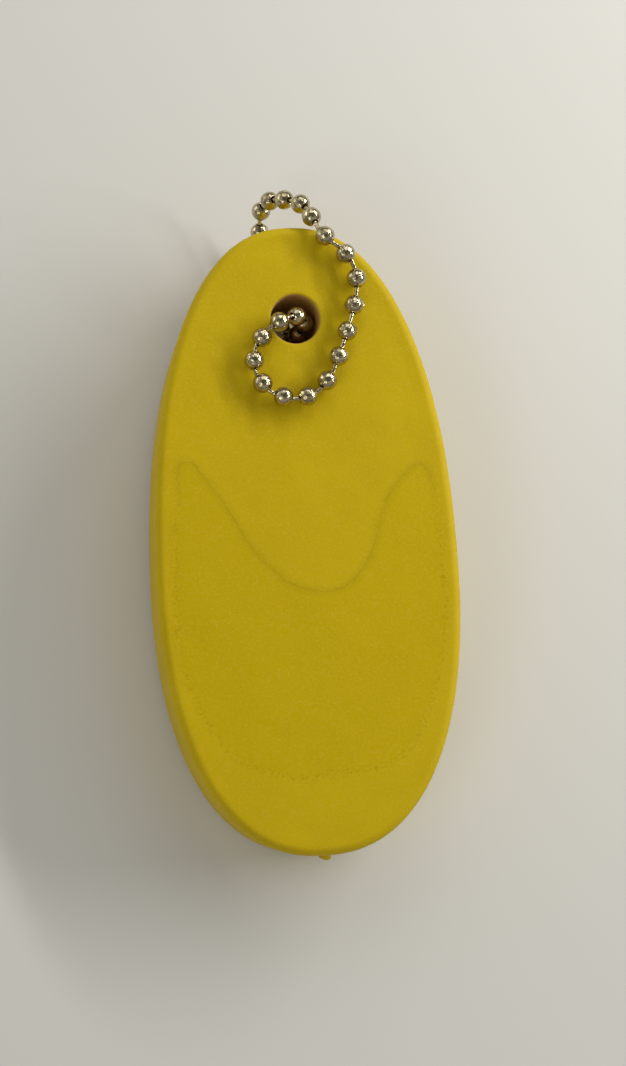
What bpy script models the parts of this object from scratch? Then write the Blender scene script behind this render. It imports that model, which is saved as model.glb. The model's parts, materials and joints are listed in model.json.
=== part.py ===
"""Floating keychain: an oval foam float on a loop of ball chain.

Metres, +Z up. The float lies on its back with its hole end towards +Y. The chain runs up through the
hole, round over the float's face and tip, and back underneath, where the coupling closes the loop and
props the hole end up. Everything stands on the plane z = 0, and the box's centre is over the origin.
"""

import math

import bmesh
import bpy
from mathutils import Matrix, Vector

# Float
FLOAT_LENGTH = 0.102
FLOAT_WIDTH = 0.049
FLOAT_THICKNESS = 0.018
OUTLINE_POWER = 2.3  # 2 is an ellipse, and more is fuller at the shoulders
OUTLINE_TAPER = 0.068  # share of its width that the oval loses from its middle to the hole end
OUTLINE_POINTS = 64
EDGE_RADIUS = 0.0015
EDGE_STEPS = 4
HOLE_DIAMETER = 0.008
HOLE_INSET = 0.0155  # hole's centre from the end of the float
HOLE_POINTS = 20
RIM_RADIUS = 0.0005
RIM_STEPS = 2
NUB_DIAMETER = 0.0017
NUB_REACH = 0.0016
NUB_OFFSET = 0.0009

# Ball chain
BEAD_COUNT = 28
BEAD_DIAMETER = 0.0032
BEAD_WALL = 0.00025
EYE_DIAMETER = 0.0011  # each of a bead's two holes
WIRE_DIAMETER = 0.0007
HEAD_DIAMETER = 0.0012
HEAD_LENGTH = 0.00035
HEAD_PLAY = 0.00035  # head to the inside of the bead where the chain is pulled straight
PULLED_PITCH = 0.0044
SLACK_PITCH = 0.00395
TURN_RADIUS = 0.007  # the tightest curve that the chain takes
BEAD_SIDES = 12
PIN_SIDES = 6

# Coupling
COUPLING_WALL = 0.0003
COUPLING_PLAY = 0.0003  # bead to the inside of the coupling
COUPLING_SPACING = 0.0054  # between the two end beads
COUPLING_INSET = 0.0059  # coupling's middle from the end of the float
THROAT_DIAMETER = 0.0016
WAIST_DEPTH = 0.0003
WAIST_LENGTH = 0.0012
SLOT_DEGREES = 34
SLOT_FACING_DEGREES = 35  # from the right-hand side, upwards
COUPLING_SIDES = 14

SEAT_GAP = 0.0003  # between pieces that touch

# Places that follow from the sizes
BEAD_RADIUS = BEAD_DIAMETER / 2
COUPLING_RADIUS = BEAD_RADIUS + COUPLING_PLAY + COUPLING_WALL
TIP_Y = FLOAT_LENGTH / 2
HOLE_Y = TIP_Y - HOLE_INSET
TAIL_Y = EDGE_RADIUS - FLOAT_LENGTH / 2  # where the flat back ends
COUPLING_Y = TIP_Y - COUPLING_INSET
COUPLING_INNER_Y = COUPLING_Y - COUPLING_SPACING / 2 - COUPLING_RADIUS
TILT = math.atan2(2 * COUPLING_RADIUS + SEAT_GAP, COUPLING_INNER_Y - TAIL_Y)
FLOAT_LIFT = EDGE_RADIUS * (1 - math.cos(TILT)) - TAIL_Y * math.sin(TILT)
FLOAT_POSE = Matrix.Translation((0, 0, FLOAT_LIFT)) @ Matrix.Rotation(TILT, 4, "X")

# The chain's line over the face, from the hole to the tip: across and along from the hole's centre,
# and how far apart the beads lie there.
FACE_ROUTE = [
    (-0.0033, -0.0011, SLACK_PITCH),
    (-0.0063, -0.0039, SLACK_PITCH),
    (-0.0073, -0.0076, SLACK_PITCH),
    (-0.0059, -0.0111, SLACK_PITCH),
    (-0.0026, -0.0132, SLACK_PITCH),
    (0.0014, -0.0130, SLACK_PITCH),
    (0.0046, -0.0104, PULLED_PITCH),
    (0.0066, -0.0065, PULLED_PITCH),
    (0.0083, -0.0022, PULLED_PITCH),
    (0.0096, 0.0021, PULLED_PITCH),
    (0.0101, 0.0065, PULLED_PITCH),
    (0.0086, 0.0102, PULLED_PITCH),
    (0.0054, 0.0132, PULLED_PITCH),
]
# From the face over the tip and in below it: across, beyond the end of the float, the share of the
# way down, and the pitch.
TIP_ROUTE = [
    (0.0036, 0.0004, 0.068, PULLED_PITCH),
    (0.0024, 0.0035, 0.186, PULLED_PITCH),
    (0.0003, 0.0054, 0.325, PULLED_PITCH),
    (-0.0016, 0.0066, 0.484, PULLED_PITCH),
    (-0.0027, 0.0065, 0.664, PULLED_PITCH),
    (-0.0028, 0.0038, 0.810, SLACK_PITCH),
    (-0.0026, 0.0006, 0.925, SLACK_PITCH),
]
# Up inside the hole: across, along, and the share of the float's thickness.
HOLE_ROUTE = [
    (0.0010, -0.0017, 0.35, PULLED_PITCH),
    (0.0016, -0.0006, 0.58, PULLED_PITCH),
    (0.0018, 0.0004, 0.81, PULLED_PITCH),
    (-0.0001, 0.0004, 1.006, SLACK_PITCH),
]
COUPLING_ENDS_X = (-0.0005, -0.0022)  # its end under the hole, and its outer end
TURN_START_X = 0.0007
TURN_STEPS_DEGREES = (0, 30, 60)
ROUTE_STEPS = 24
SETTLING_ROUNDS = 4


def clear_scene():
    for obj in list(bpy.data.objects):
        bpy.data.objects.remove(obj)


def make_material(name, colour, roughness, metallic):
    material = bpy.data.materials.new(name)
    material.use_nodes = True
    shader = material.node_tree.nodes["Principled BSDF"]
    shader.inputs["Base Color"].default_value = (*colour, 1)
    shader.inputs["Roughness"].default_value = roughness
    shader.inputs["Metallic"].default_value = metallic
    return material


def add_object(name, mesh, parent, matrix=None):
    obj = bpy.data.objects.new(name, mesh)
    bpy.context.scene.collection.objects.link(obj)
    obj.parent = parent
    obj.matrix_local = matrix or Matrix.Identity(4)
    return obj


def add_empty(name, parent=None, matrix=None):
    return add_object(name, None, parent, matrix)


def finish_mesh(name, bm, material):
    """The mesh in bm, shaded smooth apart from its sharp edges."""
    bmesh.ops.recalc_face_normals(bm, faces=bm.faces)
    mesh = bpy.data.meshes.new(name)
    bm.to_mesh(mesh)
    bm.free()
    mesh.materials.append(material)
    mesh.shade_smooth()
    mesh.set_sharp_from_angle(angle=math.radians(50))
    return mesh


def turn_profile(name, profile, sides, material, closed=False, sweep_degrees=360):
    """A profile of (along, radius) points, turned about the X axis. A closed profile makes a shell."""
    bm = bmesh.new()
    verts = [bm.verts.new((along, 0, radius)) for along, radius in profile]
    following = verts[1:] + verts[:1] if closed else verts[1:]
    edges = [bm.edges.new(pair) for pair in zip(verts, following)]
    whole = sweep_degrees == 360
    section = [] if whole else [bm.faces.new(verts)]
    bmesh.ops.spin(
        bm,
        geom=verts + edges + section,
        axis=(1, 0, 0),
        cent=(0, 0, 0),
        steps=sides,
        angle=math.radians(sweep_degrees),
        use_merge=whole,
    )
    bmesh.ops.remove_doubles(bm, verts=bm.verts, dist=1e-7)
    if not closed:
        bmesh.ops.holes_fill(bm, edges=bm.edges)
    return finish_mesh(name, bm, material)


def arc(centre, radius, start_degrees, end_degrees, steps):
    """Points of an arc in a profile, as (along, radius), with the angle counted from the turning axis."""
    angles = [start_degrees + (end_degrees - start_degrees) * i / steps for i in range(steps + 1)]
    return [
        (centre + radius * math.cos(math.radians(a)), radius * math.sin(math.radians(a)))
        for a in angles
    ]


def shell_arcs(centres, outer, wall, opening, steps):
    """The closed profile of a shell with round ends about two centres, open on the axis at both ends.

    It gives the outer line from left to right and the inner line from right to left."""
    lines = []
    for radius in (outer, outer - wall):
        edge = math.degrees(math.asin(opening / radius))
        left = arc(centres[0], radius, 180 - edge, 90, steps)
        right = arc(centres[1], radius, 90, edge, steps)
        lines.append((left, right))
    return lines


def float_outline():
    """The oval, fuller than an ellipse and a little narrower towards the hole end.

    Before the taper it is |x / a| ** power + |y / b| ** power = 1."""
    points = []
    for i in range(OUTLINE_POINTS):
        angle = 2 * math.pi * i / OUTLINE_POINTS
        across = math.copysign(abs(math.cos(angle)) ** (2 / OUTLINE_POWER), math.cos(angle))
        along = math.copysign(abs(math.sin(angle)) ** (2 / OUTLINE_POWER), math.sin(angle))
        half_width = FLOAT_WIDTH / 2 * (1 - OUTLINE_TAPER * along)
        points.append((across * half_width, along * FLOAT_LENGTH / 2))
    return points


def hide_helper(obj):
    obj.hide_render = True
    obj.display_type = "WIRE"


def add_hole_cutter(parent, material):
    """A drill through the float, with its ends well clear of both faces."""
    radius = HOLE_DIAMETER / 2
    profile = [(-radius, radius), (FLOAT_THICKNESS + radius, radius)]
    mesh = turn_profile("hole_cutter", profile, HOLE_POINTS, material)
    upright = Matrix.Translation((0, HOLE_Y, 0)) @ Matrix.Rotation(math.radians(-90), 4, "Y")
    cutter = add_object("hole_cutter", mesh, parent, upright)
    hide_helper(cutter)
    return cutter


def add_nub(parent, material):
    """The moulding vent at the tail end: a round-ended stub, which the float's own solid takes in."""
    radius = NUB_DIAMETER / 2
    tip = FLOAT_LENGTH / 2 + NUB_REACH
    end = arc(tip - radius, radius, 15, 90, 3)
    profile = end + [(FLOAT_LENGTH / 2 - EDGE_RADIUS, radius)]
    mesh = turn_profile("nub", profile, 10, material)
    backwards = Matrix.Rotation(math.radians(-90), 4, "Z")
    place = Matrix.Translation((NUB_OFFSET, 0, FLOAT_THICKNESS / 2)) @ backwards
    nub = add_object("nub", mesh, parent, place)
    hide_helper(nub)
    return nub


def add_boolean(obj, operation, other):
    modifier = obj.modifiers.new(other.name, "BOOLEAN")
    modifier.operation = operation
    modifier.object = other
    modifier.solver = "EXACT"


def add_bevel(obj, name, width, segments):
    """Rounds the edges that turn by more than 60 degrees, and leaves the facets of round sides alone."""
    modifier = obj.modifiers.new(name, "BEVEL")
    modifier.width = width
    modifier.segments = segments
    modifier.limit_method = "ANGLE"
    modifier.angle_limit = math.radians(60)
    modifier.use_clamp_overlap = False


def add_float(parent, material):
    """One foam piece: a flat oval slab, rounded all round its edge, with one hole through it."""
    bm = bmesh.new()
    back = bm.faces.new([bm.verts.new((x, y, 0)) for x, y in float_outline()])
    raised = bmesh.ops.extrude_face_region(bm, geom=[back])["geom"]
    face_verts = [v for v in raised if isinstance(v, bmesh.types.BMVert)]
    bmesh.ops.translate(bm, verts=face_verts, vec=(0, 0, FLOAT_THICKNESS))
    body = add_object("float_body", finish_mesh("float_body", bm, material), parent)
    add_bevel(body, "edge", EDGE_RADIUS, EDGE_STEPS)
    add_boolean(body, "DIFFERENCE", add_hole_cutter(parent, material))
    add_bevel(body, "rim", RIM_RADIUS, RIM_STEPS)
    add_boolean(body, "UNION", add_nub(parent, material))
    return body


def on_float(across, along, height):
    """A point given on the float as it would lie flat, where it is with the float tilted."""
    return FLOAT_POSE @ Vector((across, along, height))


def turn_under_hole(upright_x, upright_y):
    """A quarter turn from the coupling's height to the upright that leads into the hole."""
    points = []
    for degrees in TURN_STEPS_DEGREES:
        angle = math.radians(degrees)
        x = TURN_START_X + (upright_x - TURN_START_X) * degrees / 90
        y = upright_y + TURN_RADIUS * (1 - math.sin(angle))
        z = COUPLING_RADIUS + TURN_RADIUS * (1 - math.cos(angle))
        points.append((Vector((x, y, z)), PULLED_PITCH))
    return points


def chain_route():
    """The chain's line as (point, pitch): from the end bead under the hole round to the other end bead."""
    inner_x, outer_x = COUPLING_ENDS_X
    reach = COUPLING_SPACING / 2
    hole_x, hole_lean = HOLE_ROUTE[0][:2]
    top = on_float(0, TIP_Y, FLOAT_THICKNESS + SEAT_GAP + BEAD_RADIUS).z

    line = [(Vector((inner_x, COUPLING_Y - reach, COUPLING_RADIUS)), PULLED_PITCH)]
    line += turn_under_hole(hole_x, HOLE_Y + hole_lean)
    for across, along, share, pitch in HOLE_ROUTE:
        line.append((on_float(across, HOLE_Y + along, share * FLOAT_THICKNESS), pitch))
    for across, along, pitch in FACE_ROUTE:
        height = FLOAT_THICKNESS + SEAT_GAP + BEAD_RADIUS
        line.append((on_float(across, HOLE_Y + along, height), pitch))
    for across, beyond, share, pitch in TIP_ROUTE:
        height = top + share * (BEAD_RADIUS - top)
        line.append((Vector((across, TIP_Y + beyond, height)), pitch))
    line.append((Vector((outer_x, COUPLING_Y + reach, COUPLING_RADIUS)), SLACK_PITCH))
    return line


def smooth_through(line):
    """A Catmull-Rom curve through the line's points, as closely spaced (point, pitch) samples."""
    points = [p.to_4d() for p, _ in line]
    for point, (_, pitch) in zip(points, line):
        point.w = pitch
    points = [2 * points[0] - points[1], *points, 2 * points[-1] - points[-2]]
    samples = []
    for before, start, end, after in zip(points, points[1:], points[2:], points[3:]):
        for step in range(ROUTE_STEPS):
            t = step / ROUTE_STEPS
            samples.append(
                0.5
                * (
                    2 * start
                    + (end - before) * t
                    + (2 * before - 5 * start + 4 * end - after) * t**2
                    + (3 * start - before - 3 * end + after) * t**3
                )
            )
    samples.append(points[-2])
    return [(s.to_3d(), s.w) for s in samples]


def bead_centres():
    """Places for all the beads along the route, each gap in proportion to the pitch there."""
    samples = smooth_through(chain_route())
    counts = [0.0]
    for (start, pitch), (end, _) in zip(samples, samples[1:]):
        counts.append(counts[-1] + (end - start).length / pitch)
    centres = []
    place = 0
    for bead in range(BEAD_COUNT):
        wanted = counts[-1] * bead / (BEAD_COUNT - 1)
        while place < len(counts) - 2 and counts[place + 1] < wanted:
            place += 1
        part = (wanted - counts[place]) / (counts[place + 1] - counts[place])
        centres.append(samples[place][0].lerp(samples[place + 1][0], part))
    return centres


def along(centre, direction):
    """A piece's place, with its own X axis along the direction and its Z axis as upright as it can be."""
    x = direction.normalized()
    z = Vector((0, 0, 1)) if abs(x.z) < 0.9 else Vector((0, 1, 0))
    y = z.cross(x).normalized()
    turned = Matrix((x, y, x.cross(y))).transposed()
    return Matrix.Translation(centre) @ turned.to_4x4()


def bead_mesh(material):
    """A hollow ball, rolled from sheet, with an eye at each pole."""
    (left, right), (left_in, right_in) = shell_arcs(
        (0, 0), BEAD_RADIUS, BEAD_WALL, EYE_DIAMETER / 2, 3
    )
    outer = left + right[1:]
    inner = [right_in[-1], right_in[1], left_in[1], left_in[0]]
    return turn_profile("chain_bead", outer + inner, BEAD_SIDES, material, closed=True)


def eye_distance():
    """From a bead's centre to the middle of its wall at an eye."""
    middle = BEAD_RADIUS - BEAD_WALL / 2
    return math.sqrt(middle**2 - (EYE_DIAMETER / 2) ** 2)


def pin_mesh(widest_gap, material):
    """A short wire with a head on each end, which the beads' eyes don't let through."""
    wall_depth = eye_distance() - math.sqrt(
        (BEAD_RADIUS - BEAD_WALL) ** 2 - (HEAD_DIAMETER / 2) ** 2
    )
    shoulder = widest_gap / 2 + wall_depth + HEAD_PLAY
    end = shoulder + HEAD_LENGTH
    wire = WIRE_DIAMETER / 2
    half = [(end, wire), (shoulder + HEAD_LENGTH / 3, HEAD_DIAMETER / 2), (shoulder, wire)]
    profile = half + [(-x, radius) for x, radius in reversed(half)]
    return turn_profile("chain_pin", profile, PIN_SIDES, material)


def coupling_mesh(material):
    """A sleeve rolled from sheet, with cupped ends, a pinched waist and a slot along one side."""
    reach = COUPLING_SPACING / 2
    lines = shell_arcs(
        (-reach, reach), COUPLING_RADIUS, COUPLING_WALL, THROAT_DIAMETER / 2, 3
    )
    (left, right), (left_in, right_in) = lines
    outer = left + waist(COUPLING_RADIUS) + right
    inner = left_in + waist(COUPLING_RADIUS - COUPLING_WALL) + right_in
    return turn_profile(
        "chain_coupling",
        outer + inner[::-1],
        COUPLING_SIDES,
        material,
        closed=True,
        sweep_degrees=360 - SLOT_DEGREES,
    )


def waist(radius):
    half = WAIST_LENGTH / 2
    return [(-half, radius), (0, radius - WAIST_DEPTH), (half, radius)]


def eye_pairs(centres, axes):
    """For each pin, the middles of the two eyes that it runs through."""
    depth = eye_distance()
    leaving = [c + axis * depth for c, axis in zip(centres, axes)]
    entering = [c - axis * depth for c, axis in zip(centres, axes)]
    return list(zip(leaving, entering[1:]))


def bead_axes(centres):
    """Each bead's axis, settled halfway between the two pins that pull on it."""
    closing = (centres[0] - centres[-1]).normalized()
    inner = [(after - before).normalized() for before, after in zip(centres, centres[2:])]
    axes = [closing, *inner, closing]
    for _ in range(SETTLING_ROUNDS):
        pulls = [(end - start).normalized() for start, end in eye_pairs(centres, axes)]
        for i, (before, after) in enumerate(zip(pulls, pulls[1:]), 1):
            axes[i] = (axes[i] + (before + after).normalized()).normalized()
    return axes


def add_chain(parent, material):
    """The beads, the pins between them and the coupling that holds the two end beads."""
    centres = bead_centres()
    axes = bead_axes(centres)
    pieces = []

    mesh = bead_mesh(material)
    for number, (centre, axis) in enumerate(zip(centres, axes), 1):
        name = f"chain_bead_{number:02d}"
        pieces.append(add_object(name, mesh, parent, along(centre, axis)))

    eyes = eye_pairs(centres, axes)
    mesh = pin_mesh(max((end - start).length for start, end in eyes), material)
    for number, (start, end) in enumerate(eyes, 1):
        name = f"chain_pin_{number:02d}"
        pieces.append(add_object(name, mesh, parent, along((start + end) / 2, end - start)))

    middle = (centres[0] + centres[-1]) / 2
    slot_middle = math.radians(90 - SLOT_DEGREES / 2 - SLOT_FACING_DEGREES)
    place = along(middle, axes[0]) @ Matrix.Rotation(slot_middle, 4, "X")
    pieces.append(add_object("chain_coupling", coupling_mesh(material), parent, place))
    return pieces


def centre_over_origin(root, pieces):
    """Moves the keychain so that the middle of its box is over the origin and it stands on z = 0."""
    bpy.context.view_layer.update()
    graph = bpy.context.evaluated_depsgraph_get()
    points = [
        piece.matrix_world @ vertex.co
        for piece in pieces
        for vertex in piece.evaluated_get(graph).data.vertices
    ]
    low = Vector(min(p[axis] for p in points) for axis in range(3))
    high = Vector(max(p[axis] for p in points) for axis in range(3))
    root.location = (-(low.x + high.x) / 2, -(low.y + high.y) / 2, -low.z)


def main():
    clear_scene()
    foam = make_material("float_vinyl", (0.70, 0.50, 0.012), 0.45, 0)
    nickel = make_material("nickel_plate", (0.66, 0.62, 0.55), 0.18, 1)
    root = add_empty("floating_keychain")
    resting = add_empty("float_resting", root, FLOAT_POSE)
    pieces = [add_float(resting, foam)]
    pieces += add_chain(root, nickel)
    centre_over_origin(root, pieces)


main()
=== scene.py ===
"""Looks for the floating keychain: the foam float, its ball chain, the light and the camera.

Metres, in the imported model's own frame. The float's shape is worked out lying flat, with its back
on z = 0, and then set at the tilt that it rests at.
"""

import json
import math
import random

import bpy
import numpy as np
from mathutils import Matrix, Vector, noise


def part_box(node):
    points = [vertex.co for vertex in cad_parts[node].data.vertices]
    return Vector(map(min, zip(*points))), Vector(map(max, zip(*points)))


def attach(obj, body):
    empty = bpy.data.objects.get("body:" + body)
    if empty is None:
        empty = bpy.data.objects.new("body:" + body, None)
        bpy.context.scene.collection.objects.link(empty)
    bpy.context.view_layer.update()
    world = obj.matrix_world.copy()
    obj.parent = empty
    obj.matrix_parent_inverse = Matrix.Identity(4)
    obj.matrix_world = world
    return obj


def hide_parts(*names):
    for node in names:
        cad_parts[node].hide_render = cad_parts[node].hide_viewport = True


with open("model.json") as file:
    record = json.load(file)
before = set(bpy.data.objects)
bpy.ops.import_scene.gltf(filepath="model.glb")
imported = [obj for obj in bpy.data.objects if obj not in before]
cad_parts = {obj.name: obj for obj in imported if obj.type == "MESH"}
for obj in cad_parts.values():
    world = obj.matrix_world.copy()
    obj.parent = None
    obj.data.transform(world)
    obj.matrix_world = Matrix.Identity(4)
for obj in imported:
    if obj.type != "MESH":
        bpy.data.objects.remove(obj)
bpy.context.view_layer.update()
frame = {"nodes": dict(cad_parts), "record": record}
scene = bpy.context.scene

# Float, with the model's own sizes
FLOAT_LENGTH = 0.102
FLOAT_WIDTH = 0.049
FLOAT_THICKNESS = 0.018
OUTLINE_POWER = 2.3  # 2 is an ellipse, and more is fuller at the shoulders
OUTLINE_TAPER = 0.068  # share of its width that the oval loses from its middle to the hole end
EDGE_RADIUS = 0.0015
HOLE_RADIUS = 0.004
HOLE_INSET = 0.0155  # hole's centre from the end of the float
HOLE_Y = FLOAT_LENGTH / 2 - HOLE_INSET
RIM_RADIUS = 0.0005
NUB_RADIUS = 0.00085
NUB_REACH = 0.0016
NUB_OFFSET = 0.0009
BACK_MOUNT_Y = -0.010  # where the record's mount on the back lies along the float

# How finely the float is drawn
OVAL_SAMPLES = 6001  # along the formula, before the outline's points are set at even steps
OUTLINE_POINTS = 400
FACE_RINGS = 90
BACK_RINGS = 24
EDGE_RINGS = 12
WALL_RINGS = 6
RIM_RINGS = 6
BORE_RINGS = 10
NUB_SIDES = 24
NUB_STEPS = 8

# The skin's slight dips
DIP_DEPTH = 0.00012
DIPS_ACROSS = 70  # noise scale per metre
DIPS_ALONG = 45
DIPS_APART = 5.0  # in the noise, between the face and the back
DIP_FADE = 8  # the dips have their full depth from 1 / 8 of the way in from the edge and the rim

# The nub as it was trimmed
NUB_ROOT = 0.001  # how far it starts inside the float
NUB_CUT = 0.42  # share of its reach that was cut off on its shorter side
NUB_CUT_SLOPE = 0.18  # how much less was cut off on the other side
NUB_LEAN = 0.15  # sideways, for each metre out of the float
NUB_END_DEGREES = 4  # where its round end stops short of the axis
NUB_WIDENED = 1.12
NUB_FLATTENED = 0.7
NUB_ROUGH_SCALE = 1400  # noise scale per metre
NUB_ROUGH_APART = 7.0  # in the noise, between the directions that it moves a point in
NUB_ROUGH_DEPTH = 0.00016
NUB_ROUGH_FROM = 0.0004  # the roughness has its full depth from this far out of the float

# Chain, with the model's own sizes
BEAD_RADIUS = 0.0016
BEAD_WALL = 0.00025
EYE_RADIUS = 0.00055
WIRE_RADIUS = 0.00035
HEAD_RADIUS = 0.0006
HEAD_LENGTH = 0.00035
COUPLING_RADIUS = 0.0022
COUPLING_WALL = 0.0003
THROAT_RADIUS = 0.0008
WAIST_DEPTH = 0.0003
WAIST_LENGTH = 0.0012
SLOT_DEGREES = 34
SLOT_FACING_DEGREES = 35  # from the right-hand side, upwards
SETTLING_ROUNDS = 4

# Finer forms of the chain
LIP_START = 0.000072  # out from the eye, where the ball turns in to its lip
LIP_INSIDE = 0.00004  # the same inside the ball
LIP_STEPS = ((0.00003, 0.00002), (0.00010, 0.0))  # in from the ball's end, and out from the eye
SEAM_DEPTH = 0.00005
SEAM_DEGREES = (-2.4, -0.8, 0.8, 2.4)
SEAM_SEED = 6
HEAD_STEPS = ((0.55, 0.94), (0.33, 1.0), (0.12, 0.88))  # shares of a head's length and radius
WIRE_CHAMFER = 0.00006
WIRE_END_SHARE = 0.6  # of the wire's radius
SHARP_DEGREES = 40
STEEP = 0.9  # a direction that rises this much counts as upright

# How finely the chain is drawn
BEAD_SIDES = 36
BEAD_STEPS = 24
BEAD_INNER_STEPS = 8
PIN_SIDES = 20
COUPLING_SIDES = 60
COUPLING_STEPS = 10
WAIST_STEPS = 8

# The smoother mark on the face: across and along from the float's centre, in mm
MARK_OUTLINE = [
    (-20.5, 12.5),
    (-18.0, 12.8),
    (-16.4, 10.2),
    (-12.8, 5.2),
    (-9.7, -1.2),
    (-5.7, -5.6),
    (-3.1, -8.0),
    (2.1, -9.3),
    (6.0, -8.6),
    (9.1, -5.2),
    (10.7, -2.5),
    (12.1, 3.1),
    (14.1, 7.0),
    (17.2, 10.4),
    (19.4, 11.2),
    (20.7, 9.5),
    (21.5, 4.2),
    (22.0, -7.4),
    (21.8, -14.7),
    (20.7, -21.9),
    (18.2, -28.5),
    (13.9, -35.9),
    (8.4, -38.2),
    (0.8, -38.1),
    (-3.5, -39.0),
    (-8.2, -37.4),
    (-12.6, -35.7),
    (-16.2, -32.1),
    (-19.7, -25.7),
    (-21.4, -18.8),
    (-21.8, -11.1),
    (-21.5, -1.5),
    (-20.8, 6.5),
]
MM = 1000  # to a metre
MARK_NOWHERE = 9.0  # a distance in mm at which nothing of the mark shows
MARK_FIRM = slice(1, 15)  # the points of the upper edge, which is drawn more firmly
MARK_FIRM_FULL = 2.4  # mm from those points to where it starts to fade
MARK_FIRM_FADE = 4.0  # mm over which it fades to nothing

# Colours
VINYL = (0.62, 0.455, 0.001)
VINYL_DEEP = (0.57, 0.412, 0.001)
VINYL_FLECK = (0.65, 0.46, 0.024)
VINYL_MARK = (0.575, 0.42, 0.001)
# Painted shade along the mark's crease and soft band, and the colour of its dark specks.
VINYL_EDGE_SHADE_AND_SPECKS = (0.40, 0.29, 0.002)
# Painted shade: the hole's bore is coloured browner and darker than the skin.
BORE_SHADE = (0.50, 0.31, 0.10)
NICKEL = (0.66, 0.585, 0.40)
NICKEL_DULL = (0.34, 0.285, 0.16)
FLOOR = (0.74, 0.74, 0.73)

# Finishes
VINYL_SPECULAR = 0.16
VINYL_ROUGHNESS = 0.57
MARK_SMOOTHER = 0.10
BORE_ROUGHNESS = 0.8
NICKEL_ROUGHNESS = 0.03
NICKEL_DULLER = 0.13
FLOOR_ROUGHNESS = 0.7
BORE_SHADE_FROM = 0.4  # where the bore's painted shade starts on the hole's rim, as a share of the rim's radius
BORE_SHADE_FADE = 0.3  # share of the rim's radius over which the painted shade comes in
FLECK_STRENGTH = 0.85

# The mark: how fast its parts fade for each mm from its outline, and how strongly they show. The
# crease and the soft band along the outline are painted shade.
MARK_FADE = 2.2
CREASE_SHADE_FADE = 3.6
SHADE_FADE = 0.9
MARK_STRENGTH = 0.6
CREASE_SHADE_STRENGTH = 0.75
SHADE_STRENGTH = 0.28
SPECK_STRENGTH = 0.55

# Noise patterns: scale per metre, detail, contrast and offset
RAGGED = (1300.0, 4.0, 1.1, -0.55)
SPECKS = (2100.0, 2.0, 7.0, -3.6)
BREAKS = (300.0, 2.0, 2.0, -0.3)
MOTTLE = (90.0, 3.0, 2.0, -0.5)
FLECKS = (2600.0, 1.0, 3.2, -1.6)
CLOUDS = (900.0, 3.0, 2.4, -0.7)

# Bumps: noise scale per metre, detail, strength and height
SKIN_WAVES = (160.0, 1.0, 0.25, 0.0006)
SKIN_PEBBLE = (2200.0, 2.0, 0.32, 0.0001)
NICKEL_DENTS = (2300.0, 1.0, 0.9, 0.00012)
NICKEL_GRAIN = (5000.0, 2.0, 0.12, 0.00004)

# Floor
FLOOR_SIZE = 16.0
FLOOR_DROP = 0.0001

# The sky's brightness by the height of each direction, and its tint
SKY_STOPS = ((0.0, 0.12), (0.35, 0.32), (0.60, 0.52), (0.82, 0.24), (1.0, 0.10))
SKY_TINT = (1.0, 0.97, 0.88)

# Lights: place, size across and up, watts and colour
LIGHTS = {
    "window": ((0.354, 0.150, 0.240), (0.48, 0.03), 1.45, (1.0, 0.97, 0.90)),
    "far_window": ((0.05, 0.34, 0.30), (0.25, 0.25), 0.30, (1.0, 0.97, 0.92)),
    "lamp": ((-0.45, -0.39, 0.61), (0.30, 0.30), 0.70, (1.0, 0.95, 0.86)),
    "left_window": ((-0.72, 0.45, 0.18), (0.50, 0.26), 0.90, (1.0, 0.96, 0.88)),
}

# The photograph's viewpoint, measured in the float's own frame from its back
CAMERA_PLACE = Vector((-0.0457, -0.0355, 0.3341))
CAMERA_RIGHT = Vector((0.9886, -0.0579, 0.1390))
CAMERA_DOWN = Vector((-0.0414, -0.9921, -0.1186))
CAMERA_NEAR = 0.01
IMAGE_LONG_SIDE = 1066  # in pixels
FOCAL_PIXELS = 2000
SENSOR_MM = 36.0


def float_pose():
    """The float's place in the row, from the mount on its back."""
    mount = next(m for m in frame["record"]["mounts"] if m["name"] == "float_back")
    up = -Vector(mount["axis"]).normalized()
    across = Vector((1, 0, 0))
    axes = Matrix((across, up.cross(across), up)).transposed()
    origin = Vector(mount["pos_m"]) - axes @ Vector((0, BACK_MOUNT_Y, 0))
    return Matrix.Translation(origin) @ axes.to_4x4()


FLOAT_POSE = float_pose()


# Materials


def add_node(tree, kind, inputs=None, **settings):
    node = tree.nodes.new(kind)
    for name, value in settings.items():
        setattr(node, name, value)
    for name, value in (inputs or {}).items():
        if isinstance(value, bpy.types.NodeSocket):
            tree.links.new(value, node.inputs[name])
        else:
            node.inputs[name].default_value = value
    return node


def new_material(name, colour, roughness, metallic=0.0):
    material = bpy.data.materials.new(name)
    material.use_nodes = True
    shader = material.node_tree.nodes["Principled BSDF"]
    shader.inputs["Base Color"].default_value = (*colour, 1)
    shader.inputs["Roughness"].default_value = roughness
    shader.inputs["Metallic"].default_value = metallic
    return material, material.node_tree, shader


def math_node(tree, operation, first, second=0.0, clamp=False):
    node = add_node(tree, "ShaderNodeMath", {0: first, 1: second}, operation=operation)
    node.use_clamp = clamp
    return node.outputs[0]


def scaled(tree, value, factor, offset=0.0, clamp=False):
    """value * factor + offset."""
    out = math_node(tree, "MULTIPLY_ADD", value, factor, clamp)
    out.node.inputs[2].default_value = offset
    return out


def mix_colour(tree, factor, first, second):
    """A mix of two colours, each an (r, g, b) value or a socket."""
    node = tree.nodes.new("ShaderNodeMix")
    node.data_type = "RGBA"
    for name, value in (("Factor", factor), ("A", first), ("B", second)):
        socket = next(s for s in node.inputs if s.name == name and s.enabled)
        if isinstance(value, bpy.types.NodeSocket):
            tree.links.new(value, socket)
        else:
            socket.default_value = (*value, 1)
    return next(s for s in node.outputs if s.enabled)


def object_place(tree):
    return tree.nodes.new("ShaderNodeTexCoord").outputs["Object"]


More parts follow.
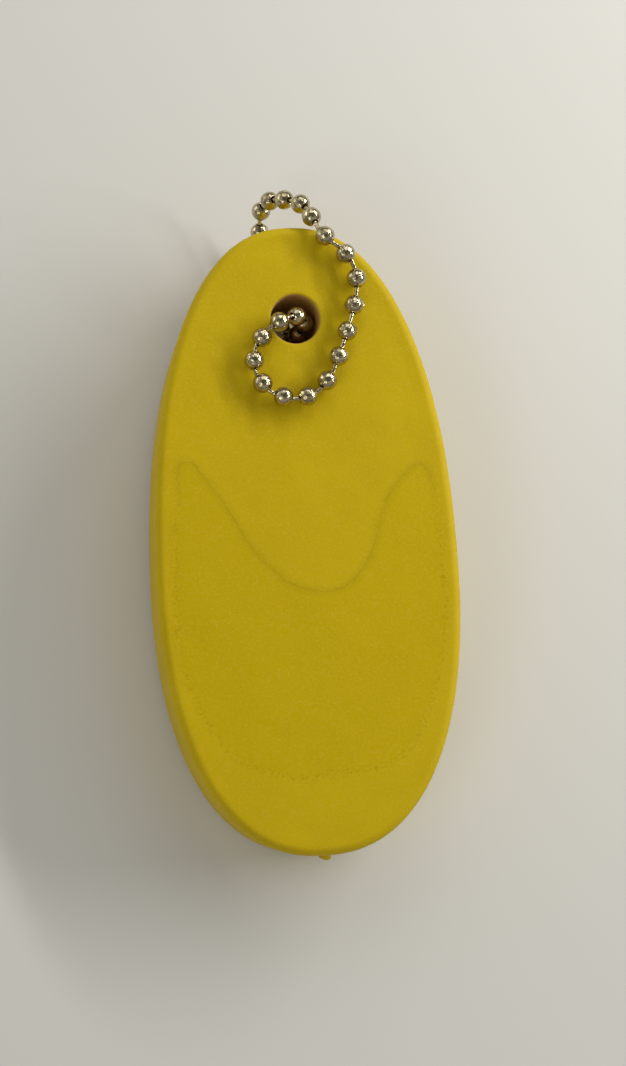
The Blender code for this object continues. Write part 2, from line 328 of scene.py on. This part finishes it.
def attribute(tree, name):
    return add_node(tree, "ShaderNodeAttribute", attribute_name=name).outputs["Fac"]


def noise_node(tree, place, scale, detail):
    inputs = {"Vector": place, "Scale": scale, "Detail": detail}
    return add_node(tree, "ShaderNodeTexNoise", inputs).outputs["Fac"]


def pattern(tree, place, settings, clamp=True):
    scale, detail, contrast, offset = settings
    return scaled(tree, noise_node(tree, place, scale, detail), contrast, offset, clamp)


def bumped(tree, place, settings, beneath=None):
    """A bumped normal, on top of the one beneath where there is one."""
    scale, detail, strength, height = settings
    relief = noise_node(tree, place, scale, detail)
    inputs = {"Height": relief, "Strength": strength, "Distance": height}
    if beneath is not None:
        inputs["Normal"] = beneath
    return add_node(tree, "ShaderNodeBump", inputs).outputs["Normal"]


def mark_edge_shade(tree, place, distance):
    """How strongly the painted shade along the mark's outline shows: a broken crease of painted shade
    at its firm edge, a soft band of painted shade there too, and dark specks all round.
    """
    firm = attribute(tree, "mark_firm")
    away = math_node(tree, "ABSOLUTE", distance)
    crease_shade = scaled(tree, away, -CREASE_SHADE_FADE, 1.0, clamp=True)
    shade = scaled(tree, away, -SHADE_FADE, 1.0, clamp=True)
    drawn = math_node(tree, "MULTIPLY", pattern(tree, place, BREAKS), firm)
    crease_shade_line = math_node(tree, "MULTIPLY", crease_shade, scaled(tree, drawn, CREASE_SHADE_STRENGTH))
    soft_shade = math_node(tree, "MULTIPLY", shade, scaled(tree, firm, SHADE_STRENGTH))
    specks = scaled(tree, pattern(tree, place, SPECKS), SPECK_STRENGTH)
    dotted = math_node(tree, "MULTIPLY", shade, specks)
    return math_node(tree, "MAXIMUM", crease_shade_line, math_node(tree, "MAXIMUM", soft_shade, dotted))


def vinyl_material():
    """Satin yellow skin on foam: a fine pebble, a slow waviness, and the smoother mark on its face.

    Inside the hole the colour is browner and darker, a painted shade, and the surface is duller.
    Along the mark's outline a darker crease and a soft band are painted shade."""
    material, tree, shader = new_material("float_vinyl", VINYL, VINYL_ROUGHNESS)
    shader.inputs["Specular IOR Level"].default_value = VINYL_SPECULAR
    place = object_place(tree)
    shaded_bore = attribute(tree, "shaded_bore_mask")
    ragged = pattern(tree, place, RAGGED, clamp=False)
    distance = math_node(tree, "ADD", attribute(tree, "face_mark"), ragged)
    inside = scaled(tree, distance, -MARK_FADE, 0.5, clamp=True)
    flecks = scaled(tree, pattern(tree, place, FLECKS), FLECK_STRENGTH)

    toned = mix_colour(tree, pattern(tree, place, MOTTLE), VINYL, VINYL_DEEP)
    marked = mix_colour(tree, scaled(tree, inside, MARK_STRENGTH), toned, VINYL_MARK)
    flecked = mix_colour(tree, flecks, marked, VINYL_FLECK)
    # Painted shade along the mark's outline, with its dark specks.
    edge_shaded = mix_colour(tree, mark_edge_shade(tree, place, distance), flecked, VINYL_EDGE_SHADE_AND_SPECKS)
    # Painted shade: the bore of the hole is mixed to a browner, darker colour.
    tree.links.new(mix_colour(tree, shaded_bore, edge_shaded, BORE_SHADE), shader.inputs["Base Color"])

    skin = scaled(tree, inside, -MARK_SMOOTHER, VINYL_ROUGHNESS)
    dull = math_node(tree, "MAXIMUM", skin, scaled(tree, shaded_bore, BORE_ROUGHNESS))
    tree.links.new(dull, shader.inputs["Roughness"])

    waves = bumped(tree, place, SKIN_WAVES)
    tree.links.new(bumped(tree, place, SKIN_PEBBLE, waves), shader.inputs["Normal"])
    return material


def nickel_material():
    """Bright plate, a little dented by the rolling and dulled in small clouds by handling."""
    material, tree, shader = new_material("nickel_plate", NICKEL, NICKEL_ROUGHNESS, 1.0)
    place = object_place(tree)
    clouds = pattern(tree, place, CLOUDS)
    colour = mix_colour(tree, clouds, NICKEL, NICKEL_DULL)
    tree.links.new(colour, shader.inputs["Base Color"])
    roughness = scaled(tree, clouds, NICKEL_DULLER, NICKEL_ROUGHNESS)
    tree.links.new(roughness, shader.inputs["Roughness"])
    dents = bumped(tree, place, NICKEL_DENTS)
    tree.links.new(bumped(tree, place, NICKEL_GRAIN, dents), shader.inputs["Normal"])
    return material


# Meshes and pieces


def smooth_mesh(name, verts, faces):
    mesh = bpy.data.meshes.new(name)
    mesh.from_pydata([tuple(v) for v in verts], [], [tuple(f) for f in faces])
    mesh.shade_smooth()
    return mesh


def add_piece(name, mesh, material, material_slot, *nodes):
    """A piece that stands for CAD nodes, in the row's own coordinates."""
    mesh.materials.append(material)
    obj = bpy.data.objects.new(name, mesh)
    scene.collection.objects.link(obj)
    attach(obj, "root")
    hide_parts(*nodes)
    return obj


def ring_faces(ring_count, count):
    """Faces between neighbouring rings of count points, of which the last joins the first."""
    faces = []
    for i in range(ring_count):
        here = i * count
        there = (i + 1) % ring_count * count
        for k in range(count):
            n = (k + 1) % count
            faces.append((here + k, there + k, there + n, here + n))
    return faces


def arc(centre, radius, start_degrees, end_degrees, steps):
    """Points of an arc in a profile, as (x, radius), with the angle counted from the axis."""
    angles = np.radians(np.linspace(start_degrees, end_degrees, steps + 1))
    return [(centre + radius * math.cos(a), radius * math.sin(a)) for a in angles]


def turned(profile, sides, closed=False, sweep=360.0, angles=None, dents=None):
    """A profile of (x, radius) points turned about the X axis, as vertices and faces."""
    whole = sweep == 360.0
    if angles is None:
        angles = [sweep * i / sides for i in range(sides if whole else sides + 1)]
    dents = dents or [0.0] * len(angles)
    count = len(profile)
    verts = []
    for degrees, dent in zip(angles, dents):
        a = math.radians(degrees)
        for x, radius in profile:
            r = radius - dent
            verts.append(Vector((x, r * math.sin(a), r * math.cos(a))))
    faces = []
    columns = len(angles) if whole else len(angles) - 1
    rows = count if closed else count - 1
    for i in range(columns):
        here = i * count
        there = (i + 1) % len(angles) * count
        for k in range(rows):
            n = (k + 1) % count
            faces.append((here + k, there + k, there + n, here + n))
    if not whole:
        faces.append(tuple(range(count)))
        faces.append(tuple(range(len(verts) - 1, len(verts) - 1 - count, -1)))
    elif not closed:
        for end in (0, count - 1):
            loop = [i * count + end for i in range(len(angles))]
            faces.append(tuple(loop if end else reversed(loop)))
    return verts, faces


# Float


def oval(count):
    """The float's outline at even steps, and its outward normals, as arrays."""
    turn = np.linspace(0, 2 * np.pi, OVAL_SAMPLES)
    power = 2 / OUTLINE_POWER
    x = np.sign(np.cos(turn)) * np.abs(np.cos(turn)) ** power * FLOAT_WIDTH / 2
    lengthwise = np.sign(np.sin(turn)) * np.abs(np.sin(turn)) ** power
    x *= 1 - OUTLINE_TAPER * lengthwise
    y = lengthwise * FLOAT_LENGTH / 2
    run = np.concatenate([[0], np.cumsum(np.hypot(np.diff(x), np.diff(y)))])
    even = np.arange(count) * run[-1] / count
    points = np.stack([np.interp(even, run, x), np.interp(even, run, y)], 1)
    ahead = np.roll(points, -1, 0) - np.roll(points, 1, 0)
    normals = np.stack([ahead[:, 1], -ahead[:, 0]], 1)
    normals /= np.linalg.norm(normals, axis=1)[:, None]
    return points, normals


def skin_dip(x, y, side):
    """How far the skin lies below the flat, between nothing and DIP_DEPTH."""
    wave = noise.noise(Vector((x * DIPS_ACROSS, y * DIPS_ALONG, side * DIPS_APART)))
    return DIP_DEPTH * min(1, max(0, 0.5 + wave))


def level(flat, height):
    """A ring of (x, y) points, all at one height."""
    return np.column_stack([flat, np.full(len(flat), height)])


def float_rings():
    """Closed rings of points over the float, from the hole's rim out, round and back up the hole."""
    points, normals = oval(OUTLINE_POINTS)
    centre = np.array([0, HOLE_Y])
    inset = points - normals * EDGE_RADIUS
    outward = inset - centre
    outward /= np.linalg.norm(outward, axis=1)[:, None]
    rim = centre + outward * (HOLE_RADIUS + RIM_RADIUS)
    bore = centre + outward * HOLE_RADIUS
    quarter = np.pi / 2

    def face_ring(share, height, side):
        """A ring at a share of the way from the rim to the edge, on the face or the back."""
        ring = level(rim + (inset - rim) * share, height)
        fade = min(1, DIP_FADE * share, DIP_FADE * (1 - share))
        for point in ring:
            point[2] -= side * fade * skin_dip(point[0], point[1], side)
        return ring

    def edge_line(turn):
        """The outline at a turn of the rounded edge, and how far that lies in from the flat."""
        return inset + normals * EDGE_RADIUS * np.sin(turn), EDGE_RADIUS * (1 - np.cos(turn))

    def rim_line(turn):
        """The same for the hole's rounded rim."""
        radius = HOLE_RADIUS + RIM_RADIUS * (1 - np.sin(turn))
        return centre + outward * radius, RIM_RADIUS * (1 - np.cos(turn))

    rings = [face_ring(share, FLOAT_THICKNESS, 1) for share in np.linspace(0, 1, FACE_RINGS)]
    for turn in np.linspace(0, quarter, EDGE_RINGS)[1:]:
        flat, depth = edge_line(turn)
        rings.append(level(flat, FLOAT_THICKNESS - depth))
    for height in np.linspace(FLOAT_THICKNESS - EDGE_RADIUS, EDGE_RADIUS, WALL_RINGS)[1:]:
        rings.append(level(points, height))
    for turn in np.linspace(quarter, 0, EDGE_RINGS)[1:]:
        rings.append(level(*edge_line(turn)))
    rings += [face_ring(share, 0, -1) for share in np.linspace(1, 0, BACK_RINGS)[1:]]
    for turn in np.linspace(0, quarter, RIM_RINGS)[1:]:
        rings.append(level(*rim_line(turn)))
    for height in np.linspace(RIM_RADIUS, FLOAT_THICKNESS - RIM_RADIUS, BORE_RINGS)[1:]:
        rings.append(level(bore, height))
    for turn in np.linspace(quarter, 0, RIM_RINGS)[1:-1]:
        flat, depth = rim_line(turn)
        rings.append(level(flat, FLOAT_THICKNESS - depth))
    return rings


def trimmed(point):
    """A point of the moulding nub as it was left when trimmed: short, flattened and lopsided."""
    share = (point.y / NUB_RADIUS + 1) / 2
    out = max(0.0, point.x - FLOAT_LENGTH / 2)
    shifts = (Vector((0, 0, NUB_ROUGH_APART * i)) for i in range(3))
    rough = Vector([noise.noise(point * NUB_ROUGH_SCALE + shift) for shift in shifts])
    x = point.x - out * (NUB_CUT - NUB_CUT_SLOPE * share)
    y = point.y * NUB_WIDENED + NUB_LEAN * out
    depth = NUB_ROUGH_DEPTH * min(1, out / NUB_ROUGH_FROM)
    return Vector((x, y, point.z * NUB_FLATTENED)) + rough * depth


def nub_shape():
    """The nub at the tail of the float as it lies flat, as vertices and faces."""
    tip = FLOAT_LENGTH / 2 + NUB_REACH
    profile = [(FLOAT_LENGTH / 2 - NUB_ROOT, NUB_RADIUS)]
    profile += arc(tip - NUB_RADIUS, NUB_RADIUS, 90, NUB_END_DEGREES, NUB_STEPS)
    verts, faces = turned(profile, NUB_SIDES)
    backwards = Matrix.Rotation(math.radians(-90), 4, "Z")
    place = Matrix.Translation((NUB_OFFSET, 0, FLOAT_THICKNESS / 2)) @ backwards
    return [place @ trimmed(v) for v in verts], faces


def rounded(outline, rounds=2):
    """A closed outline with its corners cut, at a quarter and three quarters of each side."""
    for _ in range(rounds):
        ahead = np.roll(outline, -1, 0)
        cut = (0.75 * outline + 0.25 * ahead, 0.25 * outline + 0.75 * ahead)
        outline = np.stack(cut, 1).reshape(-1, 2)
    return outline


def signed_distance(points, outline):
    """Distance from each point to a closed outline, negative inside it."""
    nearest = np.full(len(points), np.inf)
    inside = np.zeros(len(points), bool)
    for start, end in zip(outline, np.roll(outline, -1, 0)):
        run = end - start
        share = np.clip((points - start) @ run / (run @ run), 0, 1)
        away = np.linalg.norm(points - start - share[:, None] * run, axis=1)
        nearest = np.minimum(nearest, away)
        spans = (start[1] > points[:, 1]) != (end[1] > points[:, 1])
        with np.errstate(divide="ignore", invalid="ignore"):
            crossing = start[0] + (points[:, 1] - start[1]) / run[1] * run[0]
        inside ^= spans & (points[:, 0] < crossing)
    return np.where(inside, -nearest, nearest)


def firm_share(points, outline):
    """One beside the mark's firm upper edge, falling to nothing along the rest of its outline."""
    share = np.zeros(len(points))
    for x, y in outline[MARK_FIRM]:
        away = np.hypot(points[:, 0] - x, points[:, 1] - y)
        near = np.clip(1 - (away - MARK_FIRM_FULL) / MARK_FIRM_FADE, 0, 1)
        share = np.maximum(share, near)
    return share


def skin_values(verts):
    """The attributes that the skin's material reads: name, value at each vertex, value on the nub."""
    outline = np.array(MARK_OUTLINE)
    flat = verts[:, :2] * MM
    distance = signed_distance(flat, rounded(outline))
    distance[verts[:, 2] < FLOAT_THICKNESS - EDGE_RADIUS] = MARK_NOWHERE
    # The bore's mask, where its painted shade is mixed in and its roughness raised.
    from_hole = np.hypot(verts[:, 0], verts[:, 1] - HOLE_Y)
    bore_shade_start = HOLE_RADIUS + RIM_RADIUS * BORE_SHADE_FROM
    shaded_bore = np.clip((bore_shade_start - from_hole) / (RIM_RADIUS * BORE_SHADE_FADE), 0, 1)
    return (
        ("face_mark", distance, MARK_NOWHERE),
        ("mark_firm", firm_share(flat, outline), 0.0),
        ("shaded_bore_mask", shaded_bore, 0.0),
    )


def add_float(material):
    """The whole float as one skin, with the nub at its tail."""
    rings = float_rings()
    verts = np.concatenate(rings)
    nub_verts, nub_faces = nub_shape()
    faces = ring_faces(len(rings), OUTLINE_POINTS)
    faces += [tuple(len(verts) + i for i in face) for face in nub_faces]
    placed = [FLOAT_POSE @ Vector(v) for v in [*verts, *nub_verts]]
    mesh = smooth_mesh("float_skin", placed, faces)
    for name, values, on_nub in skin_values(verts):
        data = mesh.attributes.new(name, "FLOAT", "POINT").data
        values = np.concatenate([values, np.full(len(nub_verts), on_nub)])
        data.foreach_set("value", values.astype(np.float32))
    piece = add_piece("float_skin", mesh, material, "float_vinyl", "float_body")


# Chain


def bead_centres():
    """The names of the beads' nodes in order, and the middles of their boxes."""
    names = sorted(n for n in frame["nodes"] if n.startswith("chain_bead_"))
    return names, [(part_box(n)[0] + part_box(n)[1]) / 2 for n in names]


def eye_distance():
    """From a bead's centre to the middle of its wall at an eye."""
    middle = BEAD_RADIUS - BEAD_WALL / 2
    return math.sqrt(middle**2 - EYE_RADIUS**2)


def eye_pairs(centres, axes):
    """For each pin, the middles of the two eyes that it runs through."""
    depth = eye_distance()
    leaving = [c + axis * depth for c, axis in zip(centres, axes)]
    entering = [c - axis * depth for c, axis in zip(centres, axes)]
    return list(zip(leaving, entering[1:]))


def bead_axes(centres):
    """Each bead's axis, settled halfway between the two pins that pull on it."""
    closing = (centres[0] - centres[-1]).normalized()
    inner = [(after - before).normalized() for before, after in zip(centres, centres[2:])]
    axes = [closing, *inner, closing]
    for _ in range(SETTLING_ROUNDS):
        pulls = [(end - start).normalized() for start, end in eye_pairs(centres, axes)]
        for i, (before, after) in enumerate(zip(pulls, pulls[1:]), 1):
            axes[i] = (axes[i] + (before + after).normalized()).normalized()
    return axes


def along(centre, direction):
    """A place with its own X axis along the direction, and Z as upright as it can be."""
    x = direction.normalized()
    z = Vector((0, 0, 1)) if abs(x.z) < STEEP else Vector((0, 1, 0))
    y = z.cross(x).normalized()
    turn = Matrix((x, y, x.cross(y))).transposed()
    return Matrix.Translation(centre) @ turn.to_4x4()


def bead_shape():
    """A ball rolled from sheet, with turned-in eyes at its poles and a fine seam between them."""
    inner_radius = BEAD_RADIUS - BEAD_WALL
    edge = math.degrees(math.asin((EYE_RADIUS + LIP_START) / BEAD_RADIUS))
    inner_edge = math.degrees(math.asin((EYE_RADIUS + LIP_INSIDE) / inner_radius))
    outer = arc(0, BEAD_RADIUS, 180 - edge, edge, BEAD_STEPS)
    inner = arc(0, inner_radius, inner_edge, 180 - inner_edge, BEAD_INNER_STEPS)
    end = outer[-1][0]
    lip = [(end - depth, EYE_RADIUS + out) for depth, out in LIP_STEPS]
    profile = outer + lip + inner + [(-x, radius) for x, radius in reversed(lip)]
    step = 360 / BEAD_SIDES
    angles = list(SEAM_DEGREES) + [step * i for i in range(1, BEAD_SIDES)]
    dents = [0.0, SEAM_DEPTH, SEAM_DEPTH, 0.0] + [0.0] * (BEAD_SIDES - 1)
    return turned(profile, BEAD_SIDES, closed=True, angles=angles, dents=dents)


def pin_shape(half_length):
    """A wire with a lens-shaped head at each end."""
    shoulder = half_length - HEAD_LENGTH
    half = [
        (half_length, WIRE_RADIUS * WIRE_END_SHARE),
        (half_length - WIRE_CHAMFER, WIRE_RADIUS),
        *((shoulder + HEAD_LENGTH * reach, HEAD_RADIUS * width) for reach, width in HEAD_STEPS),
        (shoulder, WIRE_RADIUS),
    ]
    profile = [(-x, radius) for x, radius in half] + half[::-1]
    return turned(profile, PIN_SIDES)


def pin_half_length(node):
    """Half a pin's length, from the two furthest points of its own solid."""
    points = np.array([v.co for v in frame["nodes"][node].data.vertices])
    middle = (points.min(0) + points.max(0)) / 2
    return float(np.linalg.norm(points - middle, axis=1).max())


def waist(radius):
    """The smooth pinch in the coupling's middle, as points of its profile."""
    half = WAIST_LENGTH / 2
    places = [half * (2 * i / WAIST_STEPS - 1) for i in range(WAIST_STEPS + 1)]
    return [(x, radius - WAIST_DEPTH * (1 + math.cos(math.pi * x / half)) / 2) for x in places]


def coupling_shape(spacing):
    """The slotted sleeve, with cupped ends and a pinched waist."""
    reach = spacing / 2
    lines = []
    for radius in (COUPLING_RADIUS, COUPLING_RADIUS - COUPLING_WALL):
        edge = math.degrees(math.asin(THROAT_RADIUS / radius))
        left = arc(-reach, radius, 180 - edge, 90, COUPLING_STEPS)
        right = arc(reach, radius, 90, edge, COUPLING_STEPS)
        lines.append(left + waist(radius) + right)
    outer, inner = lines
    profile = outer + inner[::-1]
    return turned(profile, COUPLING_SIDES, closed=True, sweep=360.0 - SLOT_DEGREES)


def add_turned(name, shape, place, material, node):
    verts, faces = shape
    mesh = smooth_mesh(name, [place @ v for v in verts], faces)
    mesh.set_sharp_from_angle(angle=math.radians(SHARP_DEGREES))
    add_piece(name, mesh, material, "nickel_plate", node)


def add_chain(material):
    names, centres = bead_centres()
    axes = bead_axes(centres)
    seams = random.Random(SEAM_SEED)
    shape = bead_shape()
    for number, (node, centre, axis) in enumerate(zip(names, centres, axes), 1):
        roll = Matrix.Rotation(seams.uniform(0, 2 * math.pi), 4, "X")
        add_turned(f"bead_{number:02d}", shape, along(centre, axis) @ roll, material, node)

    for number, (start, end) in enumerate(eye_pairs(centres, axes), 1):
        node = f"chain_pin_{number:02d}"
        shape = pin_shape(pin_half_length(node))
        place = along((start + end) / 2, end - start)
        add_turned(f"pin_{number:02d}", shape, place, material, node)

    middle = (centres[0] + centres[-1]) / 2
    spacing = (centres[0] - centres[-1]).length
    slot_middle = math.radians(90 - SLOT_DEGREES / 2 - SLOT_FACING_DEGREES)
    place = along(middle, axes[0]) @ Matrix.Rotation(slot_middle, 4, "X")
    add_turned("coupling", coupling_shape(spacing), place, material, "chain_coupling")


# Floor, lights and camera


def add_floor():
    bpy.ops.mesh.primitive_plane_add(size=FLOOR_SIZE, location=(0, 0, -FLOOR_DROP))
    floor = bpy.context.object
    floor.name = "floor"
    floor.data.materials.append(new_material("pale_floor", FLOOR, FLOOR_ROUGHNESS)[0])


def add_area(name, place, size, watts, colour):
    """A rectangular light that faces the origin."""
    light = bpy.data.lights.new(name, "AREA")
    light.shape = "RECTANGLE"
    light.size, light.size_y = size
    light.energy = watts
    light.color = colour
    obj = bpy.data.objects.new(name, light)
    scene.collection.objects.link(obj)
    obj.location = place
    obj.rotation_mode = "QUATERNION"
    obj.rotation_quaternion = (-Vector(place)).to_track_quat("-Z", "Y")


def add_lights():
    for name, (place, size, watts, colour) in LIGHTS.items():
        add_area(name, place, size, watts, colour)


def add_world():
    """A soft studio: palest halfway up, and dimmer overhead and towards the horizon."""
    world = bpy.data.worlds.new("studio")
    world.use_nodes = True
    tree = world.node_tree
    background = tree.nodes["Background"]
    direction = tree.nodes.new("ShaderNodeTexCoord").outputs["Generated"]
    split = add_node(tree, "ShaderNodeSeparateXYZ", {"Vector": direction})
    ramp = add_node(tree, "ShaderNodeValToRGB", {"Fac": split.outputs["Z"]})
    elements = ramp.color_ramp.elements
    while len(elements) < len(SKY_STOPS):
        elements.new(0.5)
    for element, (height, brightness) in zip(elements, SKY_STOPS):
        element.position = height
        element.color = (*(brightness * c for c in SKY_TINT), 1)
    tree.links.new(ramp.outputs["Color"], background.inputs["Color"])
    background.inputs["Strength"].default_value = 1.0
    scene.world = world


def add_camera():
    data = bpy.data.cameras.new("camera")
    data.sensor_width = SENSOR_MM
    data.lens = FOCAL_PIXELS / IMAGE_LONG_SIDE * SENSOR_MM
    data.clip_start = CAMERA_NEAR
    obj = bpy.data.objects.new("camera", data)
    scene.collection.objects.link(obj)
    right = CAMERA_RIGHT.normalized()
    up = -(CAMERA_DOWN - right * CAMERA_DOWN.dot(right)).normalized()
    axes = Matrix((right, up, right.cross(up))).transposed()
    obj.matrix_world = FLOAT_POSE @ Matrix.Translation(CAMERA_PLACE) @ axes.to_4x4()
    scene.camera = obj


add_float(vinyl_material())
add_chain(nickel_material())
add_floor()
add_world()
add_lights()
add_camera()
scene.view_settings.view_transform = "Standard"
